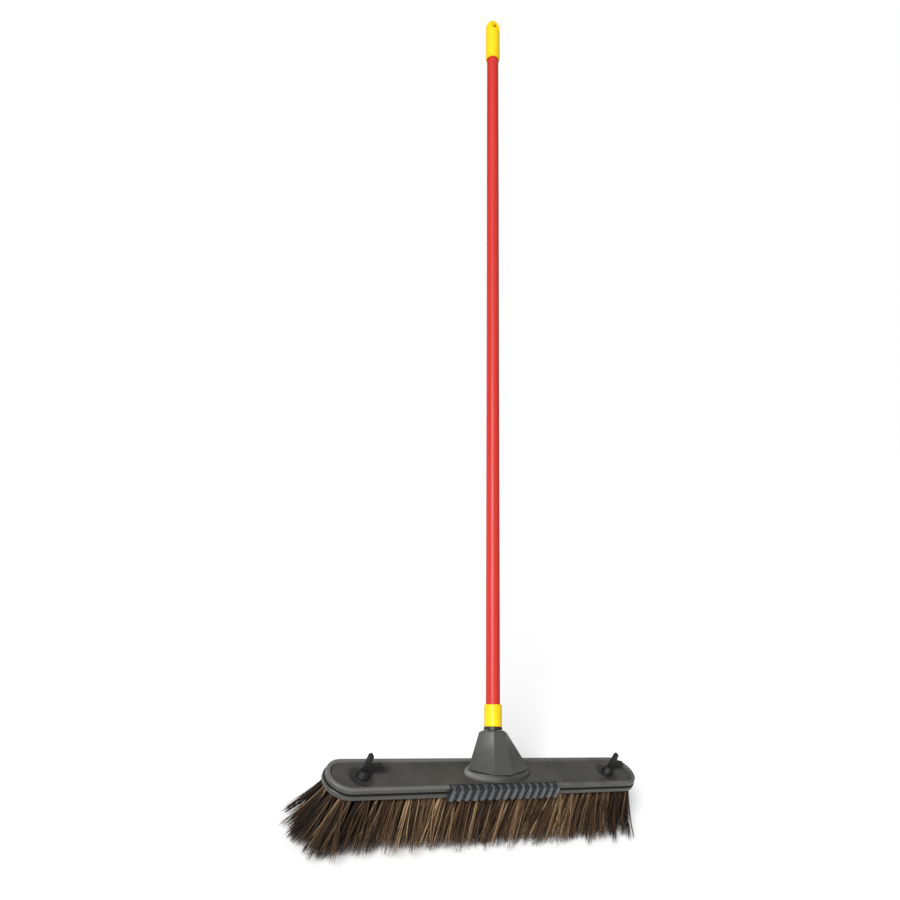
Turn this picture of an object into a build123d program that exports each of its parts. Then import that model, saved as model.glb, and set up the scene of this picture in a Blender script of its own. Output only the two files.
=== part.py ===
from build123d import *
import os
from math import cos, radians, sin, sqrt

os.makedirs("parts", exist_ok=True)

# Push broom: a long stadium-shaped head with plant fibre, a leaning connector on top, and a
# screw-in steel handle. Millimetres. X runs along the head, +Y is the side the handle leans to,
# Z is up. The fibre tips stand on Z = 0, with the origin under the middle of the head.

# ---------------------------------------------------------------- driving dimensions

# Head
HEAD_LENGTH = 610.0
HEAD_WIDTH = 69.0
FIBRE_TRIM = 100.0  # free fibre below the block
BAND_HEIGHT = 8.5  # outer band of the brush block
LAND_HEIGHT = 1.5  # raised land that the cover sits on, which leaves the groove round the head
LAND_INSET = 7.0
COVER_HEIGHT = 8.0
COVER_INSET = 2.0
RIM_WIDTH = 5.5
RIM_BEVEL_ANGLE = 45.0  # slope of the rim's inner wall, from upright
PANEL_DROP = 3.5  # top panel below the rim

# Tufts
TUFT_PITCH = 14.0
TUFT_ROWS = 5
TUFT_ROW_PITCH = 12.0
TUFT_HOLE_DIAMETER = 7.0
TUFT_HOLE_DEPTH = 7.5
TUFT_EDGE = 8.0  # least distance from a tuft's centre to the block's outline
TUFT_PLUG_DIAMETER = 6.8
TUFT_PLUG_LENGTH = 6.0
ROW_ROOT_THICKNESS = 7.0
ROW_TIP_THICKNESS = 12.0
ROW_FAN = 1.75  # spread of the rows at the tips over their spread at the roots
END_SPLAY_ANGLE = 17.0
ANCHOR_SIZE = (6.4, 1.6, 1.2)

# Locks that hold the cover to the block, one near each end
LOCK_OFFSET = 245.0
DISH_TOP_DIAMETER = 46.0
DISH_FLOOR_DIAMETER = 32.0
DISH_DEPTH = 3.0
STUD_DIAMETER = 5.0
LOCK_CLEARANCE = 0.2
LOCK_POCKET_DIAMETER = 20.0
LOCK_POCKET_DEPTH = 7.5
TEE_LENGTH = 15.0
TEE_WIDTH = 5.0
TEE_HEIGHT = 3.0
KEEPER_LENGTH = 40.0
KEEPER_WIDTH = 21.0
KEEPER_THICKNESS = 1.5
KEEPER_SCREW_OFFSET = 15.0
KEEPER_SCREW_LENGTH = 6.0
KNOB_HUB_DIAMETER = 20.0
KNOB_HUB_HEIGHT = 12.0
KNOB_NECK_DIAMETER = 13.0
BLADE_TOP = 154.0
BLADE_THICKNESS = 6.5
LEVER_REACH = 27.0

# Ribbed bumper on the front edge
BUMPER_LENGTH = 216.0
BUMPER_THICKNESS = 2.6
BUMPER_BOTTOM = 98.0
RIB_COUNT = 15
RIB_WIDTH = 4.2
RIB_TOP_DEPTH = 2.8
RIB_FOOT_DEPTH = 5.0
RIVET_DIAMETER = 3.0

# Connector
PAD_FOOT_RADII = (66.0, 24.0)
PAD_TOP_RADII = (63.0, 21.0)
PAD_HEIGHT = 7.5  # above the top panel
PLINTH_RADII = (57.0, 12.0)
PLINTH_HEIGHT = 2.5
FOOT_HALF = (61.0, 15.0)  # half sizes of the connector's hexagonal foot
FOOT_FRONT = 17.0  # half length of its front edge
SHOULDER_HALF = (28.0, 18.0)
SHOULDER_FRONT = 12.0
CAP_HALF = (19.0, 16.5)
CAP_FRONT = 10.0
CONNECTOR_SCREWS = ((-32.0, 3.0), (-12.0, 3.0), (12.0, 3.0), (32.0, 3.0))
SCREW_DIAMETER = 4.0
SCREW_HEAD_DIAMETER = 8.0
SCREW_HEAD_HEIGHT = 3.0
SCREW_TOP = 127.0

# Handle: stations are distances up its axis from where the axis crosses the rim's plane
HANDLE_LEAN = 40.0
AXIS_BACK = 16.0  # the crossing point behind the middle of the head
TUBE_DIAMETER = 23.8
TUBE_WALL = 1.0
THREAD_DIAMETER = 19.05
THREAD_ROOT_DIAMETER = 15.6
THREAD_PITCH = 5.08
THREAD_START = 32.0
THREAD_CLEARANCE = 0.08
SHOULDER_STATION = 50.6
NECK_STATION = 53.3
RING_START = 53.5
RING_END = 59.0
RING_DIAMETER = 31.0
COLLAR_START = 59.2
COLLAR_END = 94.6
COLLAR_DIAMETER = 29.5
TUBE_START = 68.2
PLUG_END = 120.0
FERRULE_PIN_STATION = 82.0
GRIP_START = 1409.0
TUBE_END = 1478.0
GRIP_END = 1508.0
GRIP_DIAMETER = 29.0
GRIP_FLAT_START = 1482.0
GRIP_FLAT_HALF = 9.0
HANG_HOLE_STATION = 1492.0
HANG_HOLE_DIAMETER = 9.0
INSERT_START = 28.0
INSERT_ACROSS_FLATS = 26.0

# ---------------------------------------------------------------- levels and planes

block_bottom = FIBRE_TRIM
band_top = block_bottom + BAND_HEIGHT
cover_bottom = band_top + LAND_HEIGHT
rim_top = cover_bottom + COVER_HEIGHT
panel_top = rim_top - PANEL_DROP
dish_floor = panel_top - DISH_DEPTH
pad_top = panel_top + PAD_HEIGHT
foot_level = pad_top + PLINTH_HEIGHT
cover_length = HEAD_LENGTH - 2 * COVER_INSET
cover_width = HEAD_WIDTH - 2 * COVER_INSET
lock_places = {"left": -LOCK_OFFSET, "right": LOCK_OFFSET}

lean = radians(HANDLE_LEAN)
handle_base = Plane(
    origin=(0, AXIS_BACK, rim_top), x_dir=(1, 0, 0), z_dir=(0, sin(lean), cos(lean))
)


def save(part, label):
    """Label a finished piece and write its STEP file."""
    part.label = label
    export_step(part, f"parts/{label}.step")


def station(distance):
    """The plane square to the handle's axis at a distance up it."""
    return handle_base.offset(distance)


def hexagon_points(half, front):
    """Six corners of a hexagon with long points left and right and flat front and back."""
    half_x, half_y = half
    return [
        (-half_x, 0),
        (-front, -half_y),
        (front, -half_y),
        (half_x, 0),
        (front, half_y),
        (-front, half_y),
    ]


def row_tufts(row):
    """Centres of one row's tufts, kept inside the outline and clear of the lock pockets."""
    row_y = (row - (TUFT_ROWS - 1) / 2) * TUFT_ROW_PITCH
    end_radius = HEAD_WIDTH / 2
    reach = HEAD_LENGTH / 2 - end_radius + sqrt((end_radius - TUFT_EDGE) ** 2 - row_y**2)
    shift = 0 if (row - TUFT_ROWS // 2) % 2 == 0 else TUFT_PITCH / 2
    steps = int((reach - shift) // TUFT_PITCH)
    xs = [shift + TUFT_PITCH * step for step in range(-steps - (shift > 0), steps + 1)]
    clear = (LOCK_POCKET_DIAMETER + TUFT_HOLE_DIAMETER) / 2 + 0.8
    return [
        (x, row_y) for x in xs if (abs(x) - LOCK_OFFSET) ** 2 + row_y**2 > clear**2
    ]


tufts = [place for row in range(TUFT_ROWS) for place in row_tufts(row)]

# ---------------------------------------------------------------- brush block

with BuildPart() as brush_block:
    with BuildSketch(Plane.XY.offset(block_bottom)):
        SlotOverall(HEAD_LENGTH, HEAD_WIDTH)
    extrude(amount=BAND_HEIGHT)
    band_edges = brush_block.edges().group_by(Axis.Z)
    chamfer(band_edges[-1], 1.0)
    fillet(band_edges[0], 2.0)
    with BuildSketch(Plane.XY.offset(band_top)):
        SlotOverall(HEAD_LENGTH - 2 * LAND_INSET, HEAD_WIDTH - 2 * LAND_INSET)
    extrude(amount=LAND_HEIGHT)
    with BuildSketch(Plane.XY.offset(block_bottom)):
        with Locations(*tufts):
            Circle(TUFT_HOLE_DIAMETER / 2)
    extrude(amount=TUFT_HOLE_DEPTH, mode=Mode.SUBTRACT)
    # a pocket under each lock, and the recess and pilot holes of its keeper plate
    with BuildSketch(Plane.XY.offset(cover_bottom)):
        with Locations(*[(x, 0) for x in lock_places.values()]):
            Circle(LOCK_POCKET_DIAMETER / 2)
    extrude(amount=-LOCK_POCKET_DEPTH, mode=Mode.SUBTRACT)
    with BuildSketch(Plane.XY.offset(cover_bottom)):
        with Locations(*[(x, 0) for x in lock_places.values()]):
            RectangleRounded(KEEPER_LENGTH + 0.4, KEEPER_WIDTH + 0.4, 4)
    extrude(amount=-KEEPER_THICKNESS, mode=Mode.SUBTRACT)
    with BuildSketch(Plane.XY.offset(cover_bottom)):
        for x in lock_places.values():
            with Locations((x - KEEPER_SCREW_OFFSET, 0), (x + KEEPER_SCREW_OFFSET, 0)):
                Circle(1.3)
    extrude(amount=-KEEPER_THICKNESS - KEEPER_SCREW_LENGTH, mode=Mode.SUBTRACT)
save(brush_block.part, "brush_block")

# ---------------------------------------------------------------- fibre, one solid a row

for row in range(TUFT_ROWS):
    places = row_tufts(row)
    root_y = places[0][1]
    root_half = places[-1][0] + TUFT_PLUG_DIAMETER / 2
    tip_half = root_half + FIBRE_TRIM * sin(radians(END_SPLAY_ANGLE))
    with BuildPart() as fibre_row:
        with BuildSketch(Plane.XY):
            with Locations((0, root_y * ROW_FAN)):
                Rectangle(2 * tip_half, ROW_TIP_THICKNESS)
        with BuildSketch(Plane.XY.offset(block_bottom)):
            with Locations((0, root_y)):
                Rectangle(2 * root_half, ROW_ROOT_THICKNESS)
        loft(ruled=True)
        with BuildSketch(Plane.XY.offset(block_bottom)):
            with Locations(*places):
                Circle(TUFT_PLUG_DIAMETER / 2)
        extrude(amount=TUFT_PLUG_LENGTH)
    save(fibre_row.part, f"fibre_row_{row + 1}")

with BuildPart() as tuft_anchors:
    with BuildSketch(Plane.XY.offset(block_bottom + TUFT_PLUG_LENGTH)):
        with Locations(*tufts):
            Rectangle(ANCHOR_SIZE[0], ANCHOR_SIZE[1])
    extrude(amount=ANCHOR_SIZE[2])
save(tuft_anchors.part, "tuft_anchors")

# ---------------------------------------------------------------- cover

with BuildPart() as top_cover:
    with BuildSketch(Plane.XY.offset(cover_bottom)):
        SlotOverall(cover_length, cover_width)
    extrude(amount=COVER_HEIGHT)
    fillet(top_cover.edges().group_by(Axis.Z)[-1], 1.8)
    chamfer(top_cover.edges().group_by(Axis.Z)[0], 0.6)
    with BuildSketch(Plane.XY.offset(rim_top)):
        SlotOverall(cover_length - 2 * RIM_WIDTH, cover_width - 2 * RIM_WIDTH)
    extrude(amount=-PANEL_DROP, taper=RIM_BEVEL_ANGLE, mode=Mode.SUBTRACT)
    # oval pad that carries the connector
    with BuildSketch(Plane.XY.offset(panel_top)):
        Ellipse(*PAD_FOOT_RADII)
    with BuildSketch(Plane.XY.offset(pad_top)):
        Ellipse(*PAD_TOP_RADII)
    loft(ruled=True)
    fillet(top_cover.edges().group_by(Axis.Z)[-1], 1.0)
    # dished recess round each lock
    for x in lock_places.values():
        with BuildSketch(Plane.XY.offset(panel_top)):
            with Locations((x, 0)):
                Circle(DISH_TOP_DIAMETER / 2)
        with BuildSketch(Plane.XY.offset(dish_floor)):
            with Locations((x, 0)):
                Circle(DISH_FLOOR_DIAMETER / 2)
        loft(mode=Mode.SUBTRACT)
    with BuildSketch(Plane.XY.offset(cover_bottom)):
        with Locations(*[(x, 0) for x in lock_places.values()]):
            Circle(STUD_DIAMETER / 2 + LOCK_CLEARANCE)
    extrude(amount=COVER_HEIGHT, mode=Mode.SUBTRACT)
    # screws go up into the connector from counterbores in the underside
    with BuildSketch(Plane.XY.offset(cover_bottom)):
        with Locations(*CONNECTOR_SCREWS):
            Circle(SCREW_DIAMETER / 2 + 0.1)
    extrude(amount=pad_top - cover_bottom, mode=Mode.SUBTRACT)
    with BuildSketch(Plane.XY.offset(cover_bottom)):
        with Locations(*CONNECTOR_SCREWS):
            Circle(SCREW_HEAD_DIAMETER / 2 + 0.3)
    extrude(amount=SCREW_HEAD_HEIGHT + 0.1, mode=Mode.SUBTRACT)
save(top_cover.part, "top_cover")

with BuildPart() as connector_screws:
    with BuildSketch(Plane.XY.offset(cover_bottom + 0.1)):
        with Locations(*CONNECTOR_SCREWS):
            Circle(SCREW_HEAD_DIAMETER / 2)
    extrude(amount=SCREW_HEAD_HEIGHT)
    with BuildSketch(Plane.XY.offset(cover_bottom + 0.1 + SCREW_HEAD_HEIGHT)):
        with Locations(*CONNECTOR_SCREWS):
            Circle(SCREW_DIAMETER / 2)
    extrude(amount=SCREW_TOP - cover_bottom - SCREW_HEAD_HEIGHT - 0.1)
save(connector_screws.part, "connector_screws")

# ---------------------------------------------------------------- ribbed bumper

front_face = -cover_width / 2
band_face = -HEAD_WIDTH / 2
skin = band_face - 0.2 - BUMPER_THICKNESS
crown = rim_top + 1.8
bumper_profile = [
    (front_face + RIM_WIDTH, rim_top),
    (front_face + RIM_WIDTH, crown),
    (skin + 3.0, crown),
    (skin, crown - 3.0),
    (skin, BUMPER_BOTTOM + 1.0),
    (skin + 1.0, BUMPER_BOTTOM),
    (band_face - 0.2, BUMPER_BOTTOM),
    (band_face - 0.2, cover_bottom - 0.3),
    (front_face, cover_bottom - 0.3),
    (front_face, rim_top),
]
rib_profile = [
    (front_face + RIM_WIDTH - 1.0, crown),
    (skin + 3.5, crown + 1.6),
    (skin + 0.5, crown + 0.6),
    (skin - RIB_TOP_DEPTH, crown - 3.0),
    (skin - RIB_FOOT_DEPTH, BUMPER_BOTTOM + 3.0),
    (skin - RIB_FOOT_DEPTH + 1.5, BUMPER_BOTTOM + 0.6),
    (skin, BUMPER_BOTTOM + 0.2),
    (skin, crown - 3.0),
    (skin + 3.0, crown),
]
rib_pitch = (BUMPER_LENGTH - 2 * RIB_WIDTH) / (RIB_COUNT - 1)
rivet_places = [
    (rib_pitch * step, front_face + RIM_WIDTH / 2) for step in (-6.5, -2.5, 2.5, 6.5)
]

with BuildPart() as bumper:
    with BuildSketch(Plane.YZ.offset(-BUMPER_LENGTH / 2)):
        with BuildLine():
            Polyline(*bumper_profile, close=True)
        make_face()
    extrude(amount=BUMPER_LENGTH)
    for rib in range(RIB_COUNT):
        rib_x = (rib - (RIB_COUNT - 1) / 2) * rib_pitch
        with BuildSketch(Plane.YZ.offset(rib_x - RIB_WIDTH / 2)):
            with BuildLine():
                Polyline(*rib_profile, close=True)
            make_face()
        extrude(amount=RIB_WIDTH)
    with BuildSketch(Plane.XY.offset(rim_top)):
        with Locations(*rivet_places):
            Circle(RIVET_DIAMETER / 2)
    extrude(amount=crown - rim_top, mode=Mode.SUBTRACT)
save(bumper.part, "front_bumper")

with BuildPart() as bumper_rivets:
    with BuildSketch(Plane.XY.offset(rim_top)):
        with Locations(*rivet_places):
            Circle(RIVET_DIAMETER / 2)
    extrude(amount=crown - rim_top)
    with BuildSketch(Plane.XY.offset(crown)):
        with Locations(*rivet_places):
            Circle(RIVET_DIAMETER)
    extrude(amount=1.0)
    chamfer(bumper_rivets.edges().group_by(Axis.Z)[-1], 0.6)
save(bumper_rivets.part, "bumper_rivets")

# ---------------------------------------------------------------- connector and its insert

with BuildPart() as connector:
    with BuildSketch(Plane.XY.offset(pad_top)):
        Ellipse(*PLINTH_RADII)
    extrude(amount=PLINTH_HEIGHT)
    sections = [
        (Plane.XY.offset(foot_level), FOOT_HALF, FOOT_FRONT),
        (station(SHOULDER_STATION), SHOULDER_HALF, SHOULDER_FRONT),
        (station(NECK_STATION), CAP_HALF, CAP_FRONT),
    ]
    for lower, upper in zip(sections, sections[1:]):
        for plane, half, front in (lower, upper):
            with BuildSketch(plane):
                with BuildLine():
                    Polyline(*hexagon_points(half, front), close=True)
                make_face()
        loft(ruled=True)
    with BuildSketch(station(INSERT_START)):
        RegularPolygon(INSERT_ACROSS_FLATS / 2, 6, major_radius=False)
    extrude(amount=NECK_STATION - INSERT_START, mode=Mode.SUBTRACT)
    with BuildSketch(Plane.XY.offset(pad_top)):
        with Locations(*CONNECTOR_SCREWS):
            Circle(SCREW_DIAMETER / 2)
    extrude(amount=SCREW_TOP - pad_top, mode=Mode.SUBTRACT)
save(connector.part, "handle_connector")

with BuildPart() as insert:
    with BuildSketch(station(INSERT_START)):
        RegularPolygon(INSERT_ACROSS_FLATS / 2, 6, major_radius=False)
        Circle(THREAD_DIAMETER / 2 + THREAD_CLEARANCE, mode=Mode.SUBTRACT)
    extrude(amount=NECK_STATION - INSERT_START)
save(insert.part, "socket_insert")

# ---------------------------------------------------------------- locks

with BuildPart() as keepers:
    with BuildSketch(Plane.XY.offset(band_top)):
        with Locations(*[(x, 0) for x in lock_places.values()]):
            RectangleRounded(KEEPER_LENGTH, KEEPER_WIDTH, 4)
            Rectangle(TEE_WIDTH + 1.4, TEE_LENGTH + 1.4, mode=Mode.SUBTRACT)
        for x in lock_places.values():
            with Locations((x - KEEPER_SCREW_OFFSET, 0), (x + KEEPER_SCREW_OFFSET, 0)):
                Circle(1.6, mode=Mode.SUBTRACT)
    extrude(amount=KEEPER_THICKNESS)
save(keepers.part, "keeper_plates")

with BuildPart() as keeper_screws:
    with BuildSketch(Plane.XY.offset(cover_bottom)):
        for x in lock_places.values():
            with Locations((x - KEEPER_SCREW_OFFSET, 0), (x + KEEPER_SCREW_OFFSET, 0)):
                Circle(1.3)
    extrude(amount=-KEEPER_THICKNESS - KEEPER_SCREW_LENGTH)
save(keeper_screws.part, "keeper_screws")

with BuildPart() as washers:
    with BuildSketch(Plane.XY.offset(dish_floor)):
        with Locations(*[(x, 0) for x in lock_places.values()]):
            Circle(KNOB_HUB_DIAMETER / 2 + 0.8)
            Circle(STUD_DIAMETER / 2 + LOCK_CLEARANCE, mode=Mode.SUBTRACT)
    extrude(amount=0.8)
save(washers.part, "knob_washers")

knob_bottom = dish_floor + 1.0
hub_top = knob_bottom + KNOB_HUB_HEIGHT
tee_top = band_top - LOCK_CLEARANCE

for side, lock_x in lock_places.items():
    lock_axis_plane = Plane(origin=(lock_x, 0, 0), x_dir=(1, 0, 0), z_dir=(0, -1, 0))
    with BuildPart() as knob:
        with BuildSketch(lock_axis_plane):
            with BuildLine():
                Polyline(
                    (0, knob_bottom),
                    (KNOB_HUB_DIAMETER / 2, knob_bottom),
                    (KNOB_HUB_DIAMETER / 2, knob_bottom + 3),
                    (KNOB_NECK_DIAMETER / 2, hub_top),
                    (0, hub_top),
                    close=True,
                )
            make_face()
        revolve(axis=Axis((lock_x, 0, 0), (0, 0, 1)))
        # upright thumb blade and a lever arm, joined by a web in their crotch
        with BuildSketch(lock_axis_plane.offset(-BLADE_THICKNESS / 2)):
            with BuildLine():
                Polyline(
                    (-4.0, hub_top - 4),
                    (-3.4, BLADE_TOP - 2),
                    (-1.4, BLADE_TOP),
                    (2.0, BLADE_TOP),
                    (3.4, BLADE_TOP - 2.4),
                    (4.6, hub_top + 14),
                    (8.0, hub_top + 9),
                    (LEVER_REACH - 2, hub_top + 11),
                    (LEVER_REACH, hub_top + 9),
                    (LEVER_REACH, hub_top + 6),
                    (LEVER_REACH - 2, hub_top + 4),
                    (9.0, hub_top),
                    (5.0, hub_top - 4),
                    close=True,
                )
            make_face()
        extrude(amount=BLADE_THICKNESS)
        with BuildSketch(Plane.XY.offset(knob_bottom)):
            with Locations((lock_x, 0)):
                Circle(STUD_DIAMETER / 2)
        extrude(amount=KNOB_HUB_HEIGHT - 2, mode=Mode.SUBTRACT)
    save(knob.part, f"{side}_knob")

    with BuildPart() as stud:
        with BuildSketch(Plane.XY.offset(tee_top - TEE_HEIGHT)):
            with Locations((lock_x, 0)):
                SlotOverall(TEE_LENGTH, TEE_WIDTH)
        extrude(amount=TEE_HEIGHT)
        with BuildSketch(Plane.XY.offset(tee_top)):
            with Locations((lock_x, 0)):
                Circle(STUD_DIAMETER / 2)
        extrude(amount=hub_top - 2 - tee_top)
    save(stud.part, f"{side}_stud")

# ---------------------------------------------------------------- handle

with BuildPart() as lock_ring:
    with BuildSketch(station(RING_START)):
        Circle(RING_DIAMETER / 2)
        Circle(THREAD_DIAMETER / 2 + 0.4, mode=Mode.SUBTRACT)
    extrude(amount=RING_END - RING_START)
    ring_edges = lock_ring.edges().filter_by(GeomType.CIRCLE).sort_by(SortBy.RADIUS)
    chamfer(ring_edges[-2:], 0.8)
save(lock_ring.part, "neck_ring")

handle_section = Plane(origin=handle_base.origin, x_dir=(1, 0, 0), z_dir=handle_base.y_dir * -1)
tube_inner = TUBE_DIAMETER / 2 - TUBE_WALL
sleeve_bore = TUBE_DIAMETER / 2 + 0.1
plug_radius = tube_inner - 0.1
thread_turns = int((RING_START - THREAD_START) // THREAD_PITCH)
thread_points = [(0, THREAD_START)]
for turn in range(thread_turns):
    foot_of_turn = THREAD_START + turn * THREAD_PITCH
    thread_points += [
        (THREAD_ROOT_DIAMETER / 2, foot_of_turn + 0.02),
        (THREAD_DIAMETER / 2, foot_of_turn + 0.9),
        (THREAD_DIAMETER / 2, foot_of_turn + 3.1),
        (THREAD_ROOT_DIAMETER / 2, foot_of_turn + 4.0),
    ]

with BuildPart() as ferrule:
    with BuildSketch(handle_section):
        with BuildLine():
            Polyline(
                *thread_points,
                (THREAD_ROOT_DIAMETER / 2, RING_START),
                (THREAD_DIAMETER / 2, RING_START + 1.0),
                (THREAD_DIAMETER / 2, COLLAR_START),
                (COLLAR_DIAMETER / 2 - 1.0, COLLAR_START),
                (COLLAR_DIAMETER / 2, COLLAR_START + 1.0),
                (COLLAR_DIAMETER / 2, COLLAR_END - 1.5),
                (COLLAR_DIAMETER / 2 - 1.2, COLLAR_END),
                (sleeve_bore, COLLAR_END),
                (sleeve_bore, TUBE_START - 0.1),
                (plug_radius, TUBE_START - 0.1),
                (plug_radius, PLUG_END - 2),
                (plug_radius - 2, PLUG_END),
                (0, PLUG_END),
                close=True,
            )
        make_face()
    revolve(axis=Axis(handle_base.origin, handle_base.z_dir))
    with BuildSketch(Plane.YZ.offset(-COLLAR_DIAMETER / 2)):
        with Locations(Plane.YZ.to_local_coords(station(FERRULE_PIN_STATION).origin)):
            Circle(2.0)
    extrude(amount=COLLAR_DIAMETER, mode=Mode.SUBTRACT)
save(ferrule.part, "threaded_ferrule")

with BuildPart() as tube:
    with BuildSketch(station(TUBE_START)):
        Circle(TUBE_DIAMETER / 2)
        Circle(tube_inner, mode=Mode.SUBTRACT)
    extrude(amount=TUBE_END - TUBE_START)
    with BuildSketch(Plane.YZ.offset(-COLLAR_DIAMETER / 2)):
        with Locations(Plane.YZ.to_local_coords(station(FERRULE_PIN_STATION).origin)):
            Circle(2.0)
    extrude(amount=COLLAR_DIAMETER, mode=Mode.SUBTRACT)
save(tube.part, "handle_tube")

pin_half = COLLAR_DIAMETER / 2 - 0.2
with BuildPart() as ferrule_pin:
    with BuildSketch(Plane.YZ.offset(-pin_half)):
        with Locations(Plane.YZ.to_local_coords(station(FERRULE_PIN_STATION).origin)):
            Circle(2.0)
    extrude(amount=2 * pin_half)
save(ferrule_pin.part, "ferrule_pin")

with BuildPart() as grip:
    with BuildSketch(handle_section):
        with BuildLine():
            Polyline(
                (0, GRIP_END),
                (0, TUBE_END + 0.2),
                (sleeve_bore, TUBE_END + 0.2),
                (sleeve_bore, GRIP_START),
                (GRIP_DIAMETER / 2 - 1.2, GRIP_START),
                (GRIP_DIAMETER / 2, GRIP_START + 1.5),
                (GRIP_DIAMETER / 2, GRIP_END - GRIP_DIAMETER / 2),
            )
            RadiusArc(
                (GRIP_DIAMETER / 2, GRIP_END - GRIP_DIAMETER / 2), (0, GRIP_END), -GRIP_DIAMETER / 2
            )
        make_face()
    revolve(axis=Axis(handle_base.origin, handle_base.z_dir))
    with BuildSketch(station(GRIP_FLAT_START)):
        with Locations((0, GRIP_FLAT_HALF + GRIP_DIAMETER), (0, -GRIP_FLAT_HALF - GRIP_DIAMETER)):
            Rectangle(2 * GRIP_DIAMETER, 2 * GRIP_DIAMETER)
    extrude(amount=GRIP_END - GRIP_FLAT_START, mode=Mode.SUBTRACT)
    with BuildSketch(handle_section.offset(-GRIP_DIAMETER)):
        with Locations((0, HANG_HOLE_STATION)):
            Circle(HANG_HOLE_DIAMETER / 2)
    extrude(amount=2 * GRIP_DIAMETER, mode=Mode.SUBTRACT)
save(grip.part, "hang_grip")
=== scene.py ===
import math
import random

import bpy
from mathutils import Matrix, Vector, noise


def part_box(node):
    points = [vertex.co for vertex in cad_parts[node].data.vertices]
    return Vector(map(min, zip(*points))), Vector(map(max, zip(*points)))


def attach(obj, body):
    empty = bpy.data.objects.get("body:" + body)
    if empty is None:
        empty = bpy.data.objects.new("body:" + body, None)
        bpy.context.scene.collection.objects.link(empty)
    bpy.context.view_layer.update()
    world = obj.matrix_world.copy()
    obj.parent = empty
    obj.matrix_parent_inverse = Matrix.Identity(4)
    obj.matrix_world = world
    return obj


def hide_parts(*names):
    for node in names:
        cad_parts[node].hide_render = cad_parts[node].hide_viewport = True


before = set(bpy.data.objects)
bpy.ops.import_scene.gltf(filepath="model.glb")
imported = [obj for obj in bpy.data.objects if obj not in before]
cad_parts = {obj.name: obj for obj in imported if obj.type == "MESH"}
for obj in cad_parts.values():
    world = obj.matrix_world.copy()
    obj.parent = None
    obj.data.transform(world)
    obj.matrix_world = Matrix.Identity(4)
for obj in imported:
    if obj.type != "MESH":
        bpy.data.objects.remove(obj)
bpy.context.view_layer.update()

# A push broom. The CAD nodes keep their shapes and get their finishes here. The plain solids
# that stand in for the fibre are replaced by loose strands. Metres, +Z up, fibre tips near Z = 0.

MM = 0.001
SEED = 431
TINT = "tint"  # the attribute that holds each strand's place on the fibre's colour ramp


# ---------------------------------------------------------------- camera

CAMERA_PLACE = Vector((-0.869, -0.8365, 0.900))
CAMERA_HEADING = math.radians(33.88)  # turned from +Y towards +X
CAMERA_PITCH = math.radians(-16.79)
CAMERA_ROLL = math.radians(22.85)
CAMERA_LENS = 33.6
SENSOR_WIDTH = 36.0
FRAMING_SHIFT = 0.03
CLIP_START = 0.01


def make_camera():
    data = bpy.data.cameras.new("camera")
    data.sensor_width = SENSOR_WIDTH
    data.lens = CAMERA_LENS
    data.shift_y = FRAMING_SHIFT
    data.clip_start = CLIP_START
    camera = bpy.data.objects.new("camera", data)
    bpy.context.scene.collection.objects.link(camera)
    turn = Matrix.Rotation(-CAMERA_HEADING, 4, "Z")
    tilt = Matrix.Rotation(math.pi / 2 + CAMERA_PITCH, 4, "X")
    roll = Matrix.Rotation(CAMERA_ROLL, 4, "Z")
    camera.matrix_world = Matrix.Translation(CAMERA_PLACE) @ turn @ tilt @ roll
    bpy.context.scene.camera = camera


# ---------------------------------------------------------------- a helper for finishes


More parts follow.
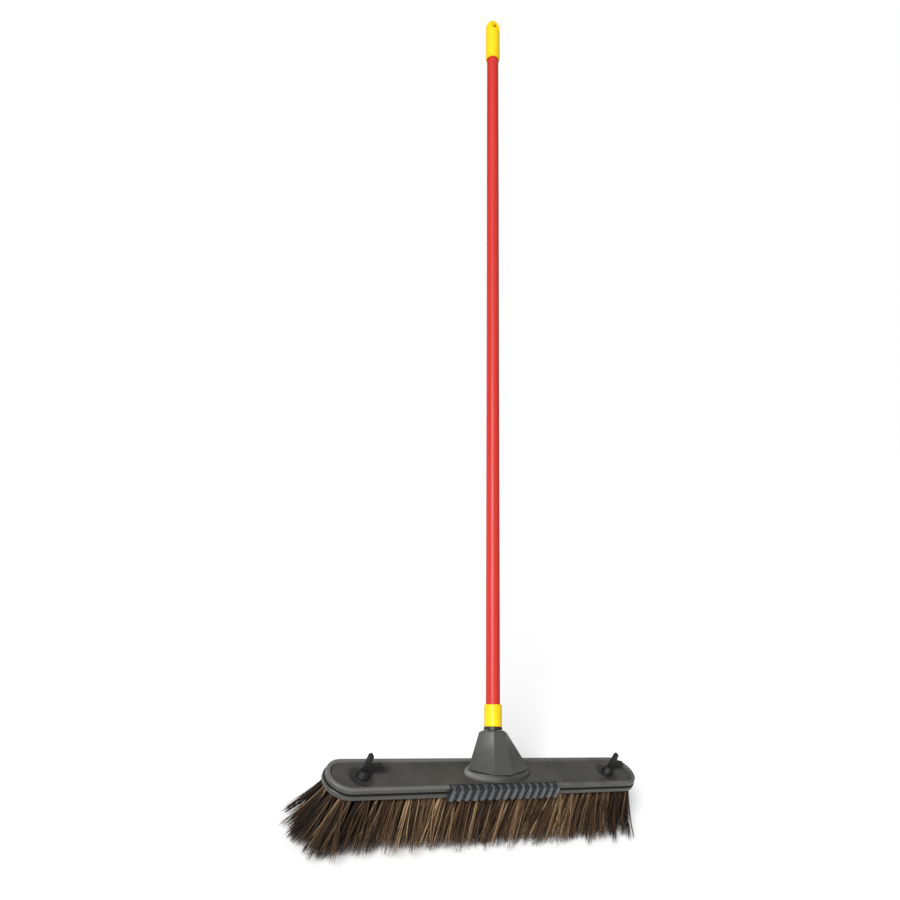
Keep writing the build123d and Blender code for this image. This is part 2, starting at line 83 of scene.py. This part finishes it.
class Finish:
    """A material under way: it adds nodes and joins them to one Principled shader."""

    def __init__(self, name):
        self.material = bpy.data.materials.new(f"{name}_finish")
        self.material.use_nodes = True
        self.tree = self.material.node_tree
        self.shader = self.tree.nodes["Principled BSDF"]
        self.place = self.node("ShaderNodeTexCoord").outputs["Object"]
        self.relief = None

    def node(self, kind, **settings):
        made = self.tree.nodes.new(kind)
        for name, value in settings.items():
            setattr(made, name, value)
        return made

    def feed(self, socket, value):
        """Link a node's output to a socket, or set the socket to a plain value."""
        if isinstance(value, bpy.types.NodeSocket):
            self.tree.links.new(value, socket)
        else:
            socket.default_value = value

    def constant(self, **values):
        """Set the shader's own sockets, such as coat_weight for Coat Weight."""
        for name, value in values.items():
            words = " ".join(w if w == "IOR" else w.capitalize() for w in name.split("_"))
            self.shader.inputs[words].default_value = value

    def moved(self, scale=(1, 1, 1), turn=(0, 0, 0)):
        """Object coordinates turned, then scaled."""
        turned = self.node("ShaderNodeMapping", vector_type="POINT")
        self.feed(turned.inputs["Vector"], self.place)
        turned.inputs["Rotation"].default_value = turn
        scaled = self.node("ShaderNodeMapping", vector_type="POINT")
        self.feed(scaled.inputs["Vector"], turned.outputs[0])
        scaled.inputs["Scale"].default_value = scale
        return scaled.outputs[0]

    def noise(self, scale, detail=3.0, rough=0.55, place=None):
        """Noise with about as many blobs to the metre as its scale says."""
        made = self.node("ShaderNodeTexNoise")
        self.feed(made.inputs["Vector"], place or self.place)
        made.inputs["Scale"].default_value = scale
        made.inputs["Detail"].default_value = detail
        made.inputs["Roughness"].default_value = rough
        return made.outputs["Fac"]

    def spread(self, value, low, high, to_low=0.0, to_high=1.0):
        """Map low..high to to_low..to_high, and hold the ends beyond them."""
        made = self.node("ShaderNodeMapRange", clamp=True)
        self.feed(made.inputs["Value"], value)
        for name, number in (
            ("From Min", low),
            ("From Max", high),
            ("To Min", to_low),
            ("To Max", to_high),
        ):
            made.inputs[name].default_value = number
        return made.outputs["Result"]

    def math(self, operation, first, second=0.0):
        """The result of one Math node."""
        made = self.node("ShaderNodeMath", operation=operation)
        self.feed(made.inputs[0], first)
        self.feed(made.inputs[1], second)
        return made.outputs[0]

    def mix(self, share, first, second, blend="MIX"):
        made = self.node("ShaderNodeMix", data_type="RGBA", blend_type=blend)
        self.feed(made.inputs["Factor"], share)
        colours = [s for s in made.inputs if s.type == "RGBA"]
        for socket, value in zip(colours, (first, second)):
            self.feed(socket, value if isinstance(value, bpy.types.NodeSocket) else (*value, 1))
        return next(s for s in made.outputs if s.type == "RGBA")

    def ramp(self, value, *stops):
        """Colours at positions from 0 to 1, blended in between."""
        made = self.node("ShaderNodeValToRGB")
        self.feed(made.inputs["Fac"], value)
        points = made.color_ramp.elements
        while len(points) < len(stops):
            points.new(0.5)
        for point, (position, colour) in zip(points, stops):
            point.position = position
            point.color = (*colour, 1)
        return made.outputs["Color"]

    def split(self, vector):
        """The X, Y and Z of a vector."""
        made = self.node("ShaderNodeSeparateXYZ")
        self.feed(made.inputs[0], vector)
        return made.outputs

    def along(self, axis):
        """The object coordinate along X, Y or Z."""
        return self.split(self.place)[axis]

    def upness(self):
        """1 where the surface faces straight up, 0 where it is upright."""
        return self.split(self.node("ShaderNodeNewGeometry").outputs["Normal"])["Z"]

    def bump(self, height, depth):
        """Add relief of a depth in metres. Each call stands on the one before."""
        made = self.node("ShaderNodeBump")
        made.inputs["Distance"].default_value = depth
        self.feed(made.inputs["Height"], height)
        if self.relief:
            self.feed(made.inputs["Normal"], self.relief)
        self.relief = made.outputs[0]
        self.feed(self.shader.inputs["Normal"], self.relief)

    def colour(self, value):
        self.feed(self.shader.inputs["Base Color"], value)

    def roughness(self, value):
        self.feed(self.shader.inputs["Roughness"], value)


# ---------------------------------------------------------------- finishes

HANDLE_LEAN = math.radians(40)
ALONG_HANDLE = (HANDLE_LEAN, 0, 0)  # this turn lays the handle's axis along Z

SOFT_EDGE = 0.2 * MM  # how softly the bands of painted highlight and painted shade end
RIM_HEIGHT = 8 * MM  # of the rim's top above the cover's underside
RIM_HIGHLIGHT_DEPTH = 2.0 * MM  # how far down from its top the rim gets a painted highlight
RIM_SLACK = 0.3 * MM  # above the rim's top, where that painted highlight stops, so that it spares the pad
PAD_HIGHLIGHT_BAND = (6 * MM, 2.5 * MM)  # below the oval pad's top, where its own painted highlight starts and is full
PAD_FADE = (-40 * MM, 10 * MM)  # where along X the pad's painted highlight is still full, and where it is gone
GROOVE = 1.5 * MM  # the gap round the head, under the cover
PANEL_DROP = 3.5 * MM  # of the top panel below the rim's top
DISH_DEPTH = 3.0 * MM
DISH_RADIUS = 23 * MM
PLINTH_HEIGHT = 2.5 * MM  # of the step under the connector's foot
STEP_SHADE_SPAN = (0.6 * MM, 0.5 * MM)  # below and above that step
RIM_HIGHLIGHT = (0.135, 0.133, 0.125)
PAD_HIGHLIGHT = (0.17, 0.172, 0.17)
GROOVE_SHADE = (0.008, 0.008, 0.006)
DISH_SHADE = (0.010, 0.010, 0.008)
STEP_SHADE_COLOUR = (0.007, 0.007, 0.006)


def rim_highlight(f, colour, rim_top):
    """Painted highlight: the cover's rim is lighter along its top, in patches, where its rounded edge
    would catch the light.
    """
    height = f.along("Z")
    # painted highlight: a pale band reaching down from the rim's top
    rub_and_highlight = f.spread(height, rim_top - RIM_HIGHLIGHT_DEPTH, rim_top - SOFT_EDGE)
    rub_and_highlight = f.math("MULTIPLY", rub_and_highlight, f.math("LESS_THAN", height, rim_top + RIM_SLACK))
    patches = f.spread(f.noise(45, 6, 0.7), 0.25, 0.7, 0.15, 0.75)
    return f.mix(f.math("MULTIPLY", rub_and_highlight, patches), colour, RIM_HIGHLIGHT)


def pad_highlight(f, colour, pad_top):
    """Painted highlight: the oval pad's side is lighter on its left half, the half that faces the key
    light.
    """
    start, full = PAD_HIGHLIGHT_BAND
    side = f.spread(f.along("Z"), pad_top - start, pad_top - full, 0, 0.8)
    left_half = f.spread(f.along("X"), *PAD_FADE, 1, 0)
    # painted highlight on the pad's lit left side
    return f.mix(f.math("MULTIPLY", side, left_half), colour, PAD_HIGHLIGHT)


def groove_shade(f, colour, cover_bottom):
    """Painted shade: darker in the groove under the cover."""
    off_groove = f.math("ABSOLUTE", f.math("SUBTRACT", f.along("Z"), cover_bottom - GROOVE / 2))
    # painted shade, darkest at the middle of the groove
    grime_and_shade = f.spread(off_groove, 0.8 * GROOVE, 1.5 * GROOVE, 0.85, 0)
    return f.mix(grime_and_shade, colour, GROOVE_SHADE)


def dish_shade(f, colour, panel_top):
    """Painted shade: the dishes under the knobs darken towards their floors."""
    depth = f.spread(f.along("Z"), panel_top - DISH_DEPTH, panel_top - SOFT_EDGE, 0.62, 0)
    dish_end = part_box("right_knob")[0].x + 2 * DISH_RADIUS
    near_middle = f.math("LESS_THAN", f.math("ABSOLUTE", f.along("Y")), DISH_RADIUS)
    short_of_rim = f.math("LESS_THAN", f.math("ABSOLUTE", f.along("X")), dish_end)
    inside = f.math("MULTIPLY", near_middle, short_of_rim)
    # painted shade in the recessed dishes
    return f.mix(f.math("MULTIPLY", depth, inside), colour, DISH_SHADE)


def head_highlights_and_shade(f, colour):
    """The head's block and cover: painted highlights along the rim and on the pad's left side, painted
    shade in the groove and the dishes.
    """
    low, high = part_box("top_cover")
    rim_top = low.z + RIM_HEIGHT
    colour = rim_highlight(f, colour, rim_top)
    colour = pad_highlight(f, colour, high.z)
    colour = groove_shade(f, colour, low.z)
    return dish_shade(f, colour, rim_top - PANEL_DROP)


def step_shade(f, colour):
    """Painted shade: darker in the step under the connector's foot."""
    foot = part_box("handle_connector")[0].z + PLINTH_HEIGHT
    below, above = STEP_SHADE_SPAN
    # painted shade along the step
    grime_and_shade = f.spread(f.along("Z"), foot - below, foot + above, 0.85, 0)
    return f.mix(grime_and_shade, colour, STEP_SHADE_COLOUR)


SCUFF = (0.13, 0.128, 0.12)
DUST = (0.20, 0.18, 0.15)


def moulded_plastic(name, dark, light, grain=900, gloss=(0.34, 0.5), scuff=SCUFF, light_and_shade=None):
    """Moulded plastic: faint mottling, a fine grain, dull patches, a few pale rubs and dust on top.

    The last argument, a function, paints light and shade that depend on the place, such as painted
    shade in a groove."""
    f = Finish(name)
    mottle = f.noise(22, 5, 0.6)
    body = f.mix(f.spread(mottle, 0.35, 0.7), dark, light)
    rub_and_highlight = f.noise(60, 8, 0.72, f.moved((1, 3.5, 3.5)))
    rubbed = f.mix(f.spread(rub_and_highlight, 0.62, 0.78, 0, 0.35), body, scuff)
    dust = f.math("MULTIPLY", f.spread(f.upness(), 0.3, 1.0), f.spread(f.noise(9, 4), 0.4, 0.75))
    dusty = f.mix(f.math("MULTIPLY", dust, 0.12), rubbed, DUST)
    # the last argument adds painted highlights and shade by place
    f.colour(light_and_shade(f, dusty) if light_and_shade else dusty)
    f.roughness(f.spread(f.noise(34, 6, 0.65), 0.3, 0.7, *gloss))
    f.constant(specular_IOR_level=0.4)
    f.bump(f.noise(grain, 3, 0.6), 0.00006)
    f.bump(f.noise(48, 2), 0.00018)
    return f.material


RIB_REACH = 5.0 * MM  # of the bumper's ribs, out from its skin
RIB_RISE = 1.6 * MM  # of the same ribs above its top
RIB_EDGES = (1.0 * MM, 0.5 * MM)  # how softly the painted shade of the gaps ends, in Y and in Z
GAP_SHADE = (0.013, 0.014, 0.016)


def rubber():
    """Ribbed rubber, with painted shade in the gaps between the ribs."""
    f = Finish("bumper_rubber")
    bloom = f.noise(40, 6, 0.65)
    rib = f.mix(f.spread(bloom, 0.4, 0.75), (0.066, 0.071, 0.078), (0.112, 0.118, 0.126))
    low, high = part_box("front_bumper")
    rib_root = low.y + RIB_REACH
    rib_foot = high.z - RIB_RISE
    behind_ribs = f.spread(f.along("Y"), rib_root - RIB_EDGES[0], rib_root)
    below_ribs = f.spread(f.along("Z"), rib_foot, rib_foot + RIB_EDGES[1], 1, 0)
    # painted shade: the gaps behind and below the ribs are darkened
    f.colour(f.mix(f.math("MULTIPLY", behind_ribs, below_ribs), rib, GAP_SHADE))
    f.roughness(f.spread(f.noise(70, 4), 0.3, 0.7, 0.42, 0.6))
    f.bump(f.noise(1400, 2), 0.00005)
    return f.material


def red_enamel():
    """Stove enamel over steel: orange peel, faint drawn lines and clouding."""
    f = Finish("red_enamel")
    long_way = f.moved((90, 90, 1.6), ALONG_HANDLE)
    streak = f.noise(1.0, 5, 0.6, long_way)
    body = f.mix(f.spread(streak, 0.35, 0.7), (0.38, 0.020, 0.015), (0.47, 0.030, 0.023))
    cloud = f.noise(7, 3)
    f.colour(f.mix(f.spread(cloud, 0.35, 0.7, 0, 0.3), body, (0.42, 0.022, 0.017)))
    fine_streak = f.noise(1.0, 6, 0.7, f.moved((160, 160, 6), ALONG_HANDLE))
    f.roughness(f.spread(fine_streak, 0.3, 0.75, 0.3, 0.48))
    f.constant(coat_weight=0.03, coat_roughness=0.3, specular_IOR_level=0.18)
    f.bump(f.noise(420, 2, 0.5), 0.00004)
    return f.material


def yellow_plastic():
    """Smooth yellow plastic, with small spots of grime."""
    f = Finish("yellow_plastic")
    tone = f.noise(30, 5, 0.6)
    body = f.mix(f.spread(tone, 0.35, 0.7), (0.70, 0.45, 0.003), (0.80, 0.54, 0.006))
    grime_and_shade = f.noise(120, 7, 0.7)
    f.colour(f.mix(f.spread(grime_and_shade, 0.6, 0.78, 0, 0.35), body, (0.42, 0.28, 0.03)))
    f.roughness(f.spread(f.noise(55, 5), 0.3, 0.7, 0.3, 0.46))
    f.constant(specular_IOR_level=0.25)
    f.bump(f.noise(700, 3), 0.00005)
    return f.material


def metal(name, colour, dull, gloss):
    """Bare metal with fine dull spots."""
    f = Finish(name)
    spots = f.noise(260, 6, 0.7)
    f.colour(f.mix(f.spread(spots, 0.35, 0.7), colour, dull))
    f.roughness(f.spread(f.noise(420, 5, 0.65), 0.3, 0.7, *gloss))
    f.constant(metallic=1.0)
    f.bump(f.noise(900, 4, 0.6), 0.00004)
    return f.material


def plant_fibre():
    """Palm fibre: each strand carries its own tint, from near black to straw."""
    f = Finish("plant_fibre")
    tint = f.node("ShaderNodeAttribute", attribute_name=TINT).outputs["Fac"]
    brown = f.ramp(
        tint,
        (0.00, (0.006, 0.003, 0.002)),
        (0.30, (0.032, 0.016, 0.007)),
        (0.55, (0.095, 0.051, 0.024)),
        (0.78, (0.250, 0.152, 0.078)),
        (1.00, (0.540, 0.385, 0.225)),
    )
    streak = f.noise(1.0, 5, 0.65, f.moved((900, 900, 60)))
    shade = f.ramp(streak, (0.30, (0.50, 0.46, 0.42)), (0.70, (1.0, 1.0, 1.0)))
    f.colour(f.mix(0.7, brown, shade, "MULTIPLY"))
    f.roughness(f.spread(f.noise(300, 3), 0.3, 0.7, 0.45, 0.7))
    f.constant(specular_IOR_level=0.25)
    f.bump(streak, 0.0002)
    return f.material


def make_finishes():
    return {
        "block_plastic": moulded_plastic(
            "block_plastic", (0.038, 0.038, 0.035), (0.060, 0.059, 0.053), light_and_shade=head_highlights_and_shade
        ),
        "connector_plastic": moulded_plastic(
            "connector_plastic", (0.046, 0.047, 0.045), (0.066, 0.067, 0.063), 700, (0.42, 0.56),
            light_and_shade=step_shade,
        ),
        "bumper_rubber": rubber(),
        "knob_plastic": moulded_plastic(
            "knob_plastic", (0.005, 0.005, 0.005), (0.010, 0.010, 0.010), 800, (0.45, 0.6),
            (0.04, 0.04, 0.038),
        ),
        "insert_plastic": moulded_plastic("insert_plastic", (0.02, 0.02, 0.02), (0.03, 0.03, 0.03)),
        "ring_plastic": moulded_plastic("ring_plastic", (0.010, 0.010, 0.010), (0.02, 0.02, 0.02)),
        "rivet_metal": metal("rivet_metal", (0.12, 0.12, 0.12), (0.06, 0.06, 0.06), (0.55, 0.7)),
        "zinc_steel": metal("zinc_steel", (0.62, 0.62, 0.60), (0.42, 0.41, 0.38), (0.28, 0.5)),
        "yellow_plastic": yellow_plastic(),
        "red_enamel": red_enamel(),
        "plant_fibre": plant_fibre(),
    }


def finish_cad_nodes(finishes):
    """Give each CAD node the finish of its slot, which names the material that it comes with."""
    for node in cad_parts.values():
        slot = node.data.materials[0].name
        node.data.materials.clear()
        node.data.materials.append(finishes[slot])


# ---------------------------------------------------------------- fibre

TUFT_STEP = 7 * MM  # half the pitch along a row, because the rows are staggered
ROW_STEP = 12 * MM
TUFT_RADIUS = 3.2 * MM
BUNDLES = 10  # in one tuft
STRANDS = 7  # in one bundle
STRAND_HALF = (0.40 * MM, 0.85 * MM)
STRAND_FLATNESS = 0.6  # its thickness over its width
STRAND_SIDES = 4
STRAND_RINGS = 7
ROOT_DEPTH = 3.0 * MM  # how far up its hole a strand starts
SPLAY_ZONES = {-1: 120 * MM, 1: 175 * MM}  # stretch over which each end of the head splays
RIPPLE = math.radians(3.5)  # how far neighbouring tufts lean apart
RIPPLE_SCALE = 24  # ripples to the metre
RIPPLE_SLICE = 3.1  # where the ripple's noise is cut, away from the tints' slice
SIDE_SPLAY = math.radians(9)
END_SIDE_SPLAY = math.radians(17)
END_SPLAYS = {-1: math.radians(17), 1: math.radians(18.5)}
BUNDLE_SPREAD = math.radians(5.2)
STRAND_SPREAD = math.radians(1.1)
END_EXTRA = 1.5  # share of extra strands in the tufts at the very ends
END_SPREAD = 0.3  # how much wider their bundles spread
END_DARKENING = 0.32  # in tint
PALE_SHARE = 0.32  # of the bundles
PALE_LOSS = 0.7  # how much smaller that share is at the very ends
PALE_LIFT = 0.28  # in tint, over the other bundles
CLUMP_TINT = 0.42
CLUMP_SWING = 0.05  # in tint, from tuft to tuft
CLUMP_SCALE = 55  # swings to the metre
BUNDLE_SWING = 0.11
STRAND_SWING = 0.18
BUNDLE_RING = 0.65  # of a tuft's radius: where its bundles stand
BUNDLE_RADIUS = 0.35  # of a tuft's radius
TRIM = (93.5 * MM, 99.8 * MM)
WORN_LEFT = 7 * MM  # how much shorter the fibre is, at most, over a stretch near the left end
WORN_STRETCH = 270 * MM
WORN_RIGHT = 6 * MM  # the same at the right end itself
BROKEN_SHARE = 0.06
BROKEN_LENGTHS = (0.72, 0.93)  # of a whole strand's
BOWS = (0.1, 0.4)  # how much straighter a strand hangs near its root
WIGGLE = 1.8 * MM
WIGGLE_TURNS = (2, 5)  # in radians, over a strand's length
TAPER = 0.45  # of a strand's width, lost on the way down
TIP_WIDTH = 0.35  # of what is left, at the very tip


def tuft_rows():
    """Each row's tuft centres, read off the anchors in the bottoms of the tuft holes."""
    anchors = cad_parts["tuft_anchors"].data
    cells = {
        (round(p.center.y / ROW_STEP), round(p.center.x / TUFT_STEP)) for p in anchors.polygons
    }
    rows = {}
    for row, column in sorted(cells):
        rows.setdefault(row, []).append(Vector((column * TUFT_STEP, row * ROW_STEP, 0)))
    return [rows[row] for row in sorted(rows)]


def end_side(place):
    return 1 if place.x > 0 else -1


def end_share(place, half_length):
    """0 along the middle of the head, and up to 1 at its ends."""
    zone = SPLAY_ZONES[end_side(place)]
    return max(0, (abs(place.x) - half_length + zone) / zone)


def splay(place, half_length, half_width):
    """Sideways lean of a tuft, as slopes along X and Y. The ends of the head splay most."""
    end = end_share(place, half_length)
    side = end_side(place)
    to_front = SIDE_SPLAY + (END_SIDE_SPLAY - SIDE_SPLAY) * end
    ripple = noise.noise_vector(Vector((place.x * RIPPLE_SCALE, place.y * RIPPLE_SCALE, RIPPLE_SLICE)))
    lean_x = side * END_SPLAYS[side] * end + ripple.x * RIPPLE
    lean_y = to_front * place.y / half_width + ripple.y * RIPPLE
    return Vector((math.tan(lean_x), math.tan(lean_y), 0))


def add_strand(dice, root, slope, bow, length, half, tint, mesh):
    """One tapered strand: rings round a gently bent line from the root down to the tip."""
    points, faces, tints = mesh
    first = len(points)
    turn = dice.uniform(0, math.tau)
    wide = Vector((math.cos(turn), math.sin(turn), 0))
    thin = Vector((-math.sin(turn), math.cos(turn), 0)) * STRAND_FLATNESS
    waves = [
        (dice.uniform(-1, 1) * WIGGLE, dice.uniform(*WIGGLE_TURNS), dice.uniform(0, math.tau))
        for _ in "xy"
    ]
    upright = 1 / math.sqrt(1 + slope.length_squared)
    for ring in range(STRAND_RINGS):
        along = ring / (STRAND_RINGS - 1)
        drop = along * length * upright
        centre = root + slope * drop * (1 - bow + bow * along) + Vector((0, 0, -drop))
        for axis, (size, beats, phase) in enumerate(waves):
            centre[axis] += size * along * math.sin(beats * along + phase)
        width = half * (1 - TAPER * along) * (TIP_WIDTH if ring == STRAND_RINGS - 1 else 1)
        for side in range(STRAND_SIDES):
            angle = math.tau * side / STRAND_SIDES
            points.append(centre + (wide * math.cos(angle) + thin * math.sin(angle)) * width)
            tints.append(tint)
    for ring in range(STRAND_RINGS - 1):
        for side in range(STRAND_SIDES):
            a = first + ring * STRAND_SIDES + side
            b = first + ring * STRAND_SIDES + (side + 1) % STRAND_SIDES
            faces.append((a, a + STRAND_SIDES, b + STRAND_SIDES, b))
    last = first + (STRAND_RINGS - 1) * STRAND_SIDES
    faces.append(tuple(first + side for side in range(STRAND_SIDES)))
    faces.append(tuple(last + side for side in reversed(range(STRAND_SIDES))))


def wear_at(place, half_length):
    """How much shorter the strands of a tuft are worn."""
    if place.x > 0:
        return WORN_RIGHT * end_share(place, half_length)
    along = min((place.x + half_length) / WORN_STRETCH, 1)
    return WORN_LEFT * math.sin(math.pi * along)


def add_tuft(dice, place, block_bottom, lean, end, worn, mesh):
    """A tuft's bundles and their strands. Towards the head's ends it is denser and darker."""
    strands = round(STRANDS * (1 + END_EXTRA * end**2))
    swing = noise.noise(Vector((place.x * CLUMP_SCALE, place.y * CLUMP_SCALE, 0)))
    clump_tint = CLUMP_TINT + CLUMP_SWING * swing - END_DARKENING * end
    spread = BUNDLE_SPREAD * (1 + END_SPREAD * end)
    for _ in range(BUNDLES):
        bundle_lean = lean + Vector([math.tan(dice.gauss(0, spread)) for _ in "xy"] + [0])
        bundle_tint = clump_tint + dice.gauss(0, BUNDLE_SWING)
        if dice.random() < PALE_SHARE * (1 - PALE_LOSS * end):
            bundle_tint += PALE_LIFT
        corner = dice.uniform(0, math.tau)
        middle = Vector((math.cos(corner), math.sin(corner), 0)) * TUFT_RADIUS * BUNDLE_RING
        for _ in range(strands):
            angle = dice.uniform(0, math.tau)
            out = math.sqrt(dice.random()) * TUFT_RADIUS * BUNDLE_RADIUS
            offset = middle + Vector((math.cos(angle), math.sin(angle), 0)) * out
            root = place + offset + Vector((0, 0, block_bottom + ROOT_DEPTH))
            slope = bundle_lean + offset / TUFT_RADIUS * math.tan(BUNDLE_SPREAD)
            slope += Vector([math.tan(dice.gauss(0, STRAND_SPREAD)) for _ in "xy"] + [0])
            length = dice.uniform(*TRIM) - worn + ROOT_DEPTH
            if dice.random() < BROKEN_SHARE:
                length *= dice.uniform(*BROKEN_LENGTHS)
            half = dice.uniform(*STRAND_HALF)
            tint = min(max(bundle_tint + dice.gauss(0, STRAND_SWING), 0), 1)
            add_strand(dice, root, slope, dice.uniform(*BOWS), length, half, tint, mesh)


def build_fibre(finish):
    """Loose strands in place of each plain row of fibre."""
    noise.seed_set(SEED)  # noise_vector draws its offsets from the clock otherwise
    low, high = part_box("brush_block")
    for number, tufts in enumerate(tuft_rows(), 1):
        dice = random.Random(SEED + number)
        mesh = points, faces, tints = [], [], []
        for place in tufts:
            lean = splay(place, high.x, high.y)
            end = end_share(place, high.x)
            add_tuft(dice, place, low.z, lean, end, wear_at(place, high.x), mesh)
        data = bpy.data.meshes.new(f"strands_row_{number}")
        data.from_pydata(points, [], faces)
        data.attributes.new(TINT, "FLOAT", "POINT").data.foreach_set("value", tints)
        data.shade_smooth()
        data.materials.append(finish)
        row = bpy.data.objects.new(f"strands_row_{number}", data)
        bpy.context.scene.collection.objects.link(row)
        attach(row, "head")
        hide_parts(f"fibre_row_{number}")


# ---------------------------------------------------------------- stage and light

FLOOR_HALF = 12.0
AMBIENT = 0.27  # what the world adds as light. The camera sees the world as plain white.
KEY_FROM = Vector((-0.70, -0.38, 0.60))  # low from the left and front
KEY_STRENGTH = 4.5
KEY_ANGLE = math.radians(20)
LIFT_FROM = Vector((0.35, -0.80, 0.50))
LIFT_STRENGTH = 0.2
LIFT_ANGLE = math.radians(60)


def make_floor():
    data = bpy.data.meshes.new("floor")
    corners = [(x * FLOOR_HALF, y * FLOOR_HALF, 0) for x, y in ((-1, -1), (1, -1), (1, 1), (-1, 1))]
    data.from_pydata(corners, [], [(0, 1, 2, 3)])
    floor = bpy.data.objects.new("floor", data)
    bpy.context.scene.collection.objects.link(floor)
    f = Finish("floor")
    f.colour(f.mix(f.noise(3, 4), (0.955, 0.955, 0.955), (0.97, 0.97, 0.97)))
    f.roughness(f.spread(f.noise(5, 4), 0.3, 0.7, 0.7, 0.85))
    data.materials.append(f.material)


def add_soft_light(name, source, strength, angle):
    """A distant light with a wide disk, so that its shadows are soft and the floor is even."""
    data = bpy.data.lights.new(name, "SUN")
    data.energy = strength
    data.angle = angle
    light = bpy.data.objects.new(name, data)
    light.rotation_euler = source.to_track_quat("Z", "Y").to_euler()
    bpy.context.scene.collection.objects.link(light)


def make_light():
    world = bpy.data.worlds.new("studio")
    bpy.context.scene.world = world
    world.use_nodes = True
    nodes, links = world.node_tree.nodes, world.node_tree.links
    glow = nodes["Background"]
    glow.inputs["Strength"].default_value = AMBIENT
    backdrop = nodes.new("ShaderNodeBackground")
    seen = nodes.new("ShaderNodeLightPath").outputs["Is Camera Ray"]
    mixed = nodes.new("ShaderNodeMixShader")
    for background in (glow, backdrop):
        background.inputs["Color"].default_value = (1, 1, 1, 1)
    links.new(seen, mixed.inputs[0])
    links.new(glow.outputs[0], mixed.inputs[1])
    links.new(backdrop.outputs[0], mixed.inputs[2])
    links.new(mixed.outputs[0], nodes["World Output"].inputs["Surface"])
    add_soft_light("key", KEY_FROM, KEY_STRENGTH, KEY_ANGLE)
    add_soft_light("lift", LIFT_FROM, LIFT_STRENGTH, LIFT_ANGLE)
    bpy.context.scene.view_settings.view_transform = "Standard"


# ---------------------------------------------------------------- build

make_camera()
finishes = make_finishes()
finish_cad_nodes(finishes)
build_fibre(finishes["plant_fibre"])
make_floor()
make_light()
